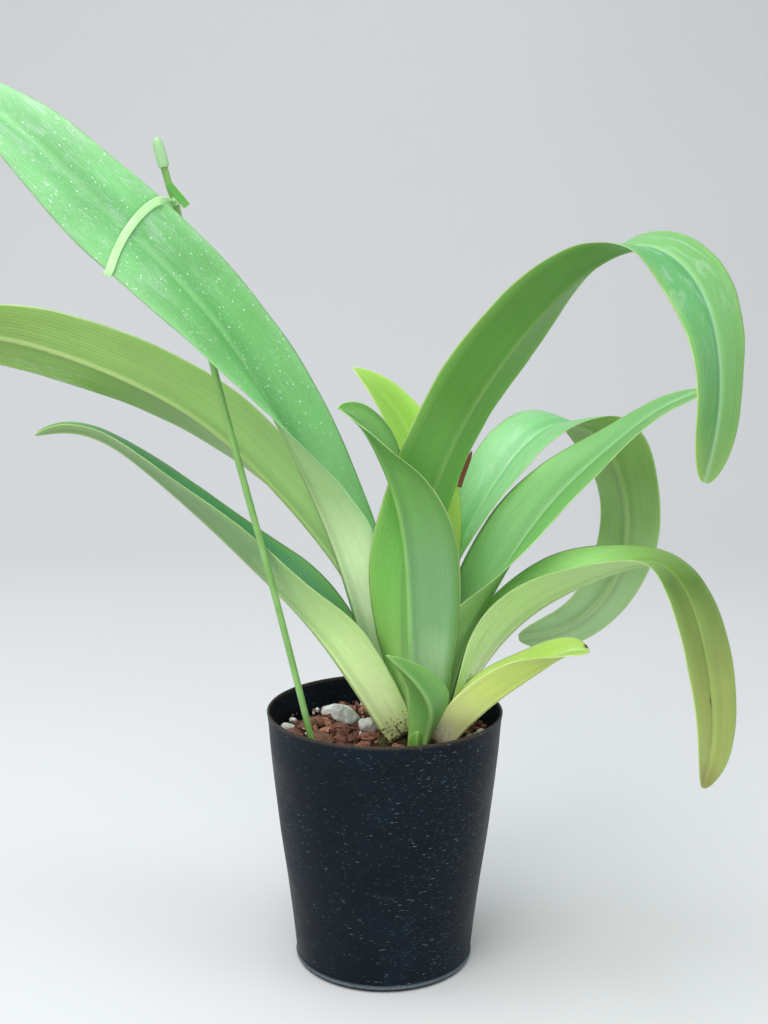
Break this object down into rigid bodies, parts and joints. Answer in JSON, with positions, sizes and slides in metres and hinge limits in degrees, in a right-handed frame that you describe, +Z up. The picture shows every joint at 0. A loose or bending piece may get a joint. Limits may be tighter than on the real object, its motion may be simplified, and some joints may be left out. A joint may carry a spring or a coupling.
{
  "type": "potted slipper orchid",
  "caption": "Slipper orchid without flowers, with long arching strap leaves, growing in bark in a round black pot, one leaf tied to a thin green stake.",
  "frame": {"origin": "centre of the pot's flat underside", "axes": "+Z up along the pot's axis; the viewer of the front stands at -Y and +X is to that viewer's right"},
  "size_m": [0.4246, 0.1702, 0.445],
  "materials": {
    "pot_plastic": "thin moulded black plastic, satin, faint fine horizontal scuffs",
    "bark": "packed chipped bark, rough, reddish brown",
    "bark_chips": "loose bark chips, rough fibrous faces, reddish brown with orange flecks",
    "stone": "white to grey pumice pebbles, matt, fine pores",
    "root": "thick roots with brown felted hairs",
    "rhizome": "fibrous olive-brown creeping stem",
    "stake_coating": "thin rod with smooth green plastic coating",
    "tie_plastic": "flat pale green plastic tie",
    "dry_bract": "dried reddish brown bract",
    "leaf_young": "young yellow-green leaf, waxy, fine lengthwise veins",
    "leaf_green": "leathery strap leaf, satin wax, fine lengthwise veins, pale keel and margins"
  },
  "bodies": {
    "root": {"bark_bed": "bark", "bark_chip_01": "bark_chips", "bark_chip_02": "bark_chips", "bark_chip_03": "bark_chips", "bark_chip_04": "bark_chips", "bark_chip_05": "bark_chips", "bark_chip_06": "bark_chips", "bark_chip_07": "bark_chips", "bark_chip_08": "bark_chips", "bark_chip_09": "bark_chips", "bark_chip_10": "bark_chips", "bark_chip_11": "bark_chips", "bark_chip_12": "bark_chips", "bark_chip_13": "bark_chips", "bark_chip_14": "bark_chips", "bark_chip_15": "bark_chips", "bark_chip_16": "bark_chips", "bark_chip_17": "bark_chips", "bark_chip_18": "bark_chips", "dried_bract": "dry_bract", "leaf_arching_right": "leaf_green", "leaf_drooping_right": "leaf_green", "leaf_front_center": "leaf_green", "leaf_lower_left": "leaf_green", "leaf_middle_left": "leaf_green", "leaf_rear_right": "leaf_green", "leaf_short_yellow": "leaf_young", "leaf_straight_right": "leaf_green", "leaf_upper_left": "leaf_green", "leaf_young_center": "leaf_young", "pot": "pot_plastic", "rhizome": "rhizome", "root_1": "root", "root_2": "root", "root_3": "root", "root_4": "root", "root_5": "root", "scale_leaf_front": "leaf_green", "sheath_leaf_front": "leaf_green", "sheath_leaf_side": "leaf_green", "stake_cap": "stake_coating", "stake_rod": "stake_coating", "stone_flat_white": "stone", "stone_grey_right": "stone", "stone_large_grey_white": "stone", "stone_rim_left": "stone", "stone_round_white": "stone", "stone_small_back": "stone", "stone_small_left": "stone", "stone_small_right": "stone", "tie_band": "tie_plastic", "tie_end": "tie_plastic"}
  },
  "joints": []
}
